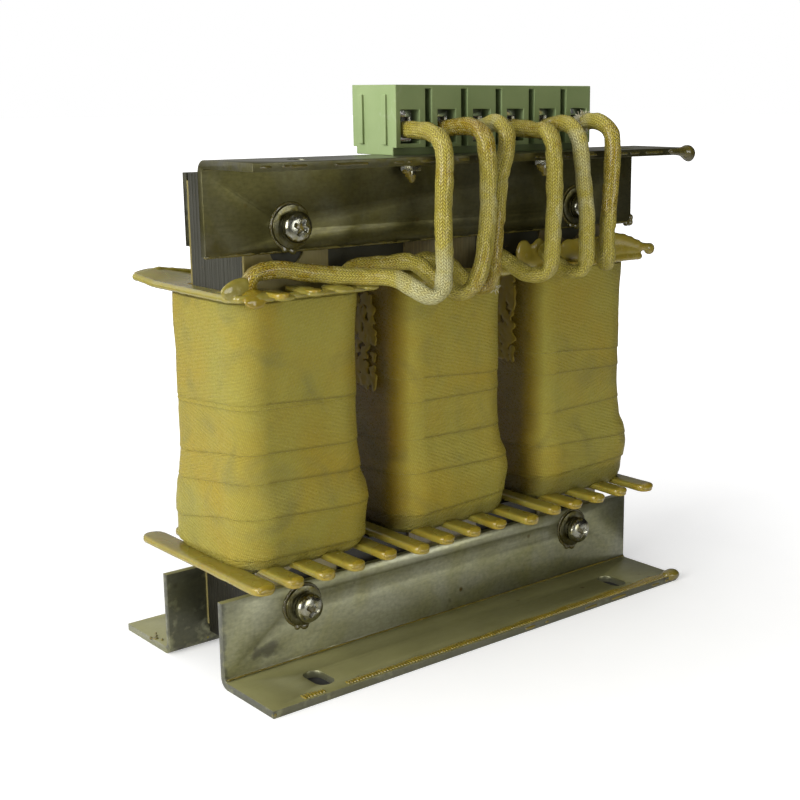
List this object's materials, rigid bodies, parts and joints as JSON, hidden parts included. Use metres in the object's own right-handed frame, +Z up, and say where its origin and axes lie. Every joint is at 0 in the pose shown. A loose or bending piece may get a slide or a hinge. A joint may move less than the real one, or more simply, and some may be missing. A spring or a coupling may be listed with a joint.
{
  "type": "motor reactor",
  "caption": "Three-phase line reactor: taped coils on a laminated core between slotted steel brackets, with braided-sleeve leads up to a green terminal block.",
  "frame": {"origin": "on the mounting plane, under the middle of the core", "axes": "+X along the brackets, +Y away from the terminal side where the leads hang, +Z up"},
  "size_m": [0.1484, 0.0832, 0.1515],
  "materials": {
    "lamination": "varnished electrical steel sheets",
    "gap_shim": "varnished board",
    "bracket_steel": "galvanised sheet under clear varnish",
    "strip": "translucent varnished laminate",
    "screw_steel": "bright zinc plate",
    "washer_steel": "zinc plate under varnish",
    "former": "moulded insulation",
    "copper": "enamelled copper",
    "tape": "woven glass tape soaked in varnish",
    "laminate": "translucent glass laminate under varnish",
    "sleeve": "braided glass sleeve soaked in varnish",
    "housing": "moulded, fine grain"
  },
  "bodies": {
    "root": {"block_nuts": "screw_steel", "block_screws": "screw_steel", "bottom_front_bracket": "bracket_steel", "bottom_rear_bracket": "bracket_steel", "bottom_sticks_left": "laminate", "bottom_sticks_middle": "laminate", "bottom_sticks_right": "laminate", "clamp_cages": "screw_steel", "clamp_nuts": "screw_steel", "clamp_screws": "screw_steel", "former_left": "former", "former_middle": "former", "former_right": "former", "front_washers": "washer_steel", "gap_shims": "gap_shim", "lead_sleeve_1": "sleeve", "lead_sleeve_2": "sleeve", "lead_sleeve_3": "sleeve", "lead_sleeve_4": "sleeve", "lead_sleeve_5": "sleeve", "lead_sleeve_6": "sleeve", "lower_yoke": "lamination", "rear_washers": "washer_steel", "spring_washers": "washer_steel", "strip_front_left": "strip", "strip_front_middle": "strip", "strip_front_right": "strip", "strip_rear_left": "strip", "strip_rear_middle": "strip", "strip_rear_right": "strip", "tape_wrap_left": "tape", "tape_wrap_middle": "tape", "tape_wrap_right": "tape", "terminal_housing": "housing", "terminal_screws": "screw_steel", "top_front_bracket": "bracket_steel", "top_plate_left": "laminate", "top_plate_middle": "laminate", "top_plate_right": "laminate", "top_rear_bar": "bracket_steel", "top_sticks_left": "laminate", "top_sticks_middle": "laminate", "top_sticks_right": "laminate", "upper_core": "lamination", "winding_left": "copper", "winding_middle": "copper", "winding_right": "copper"}
  },
  "joints": []
}
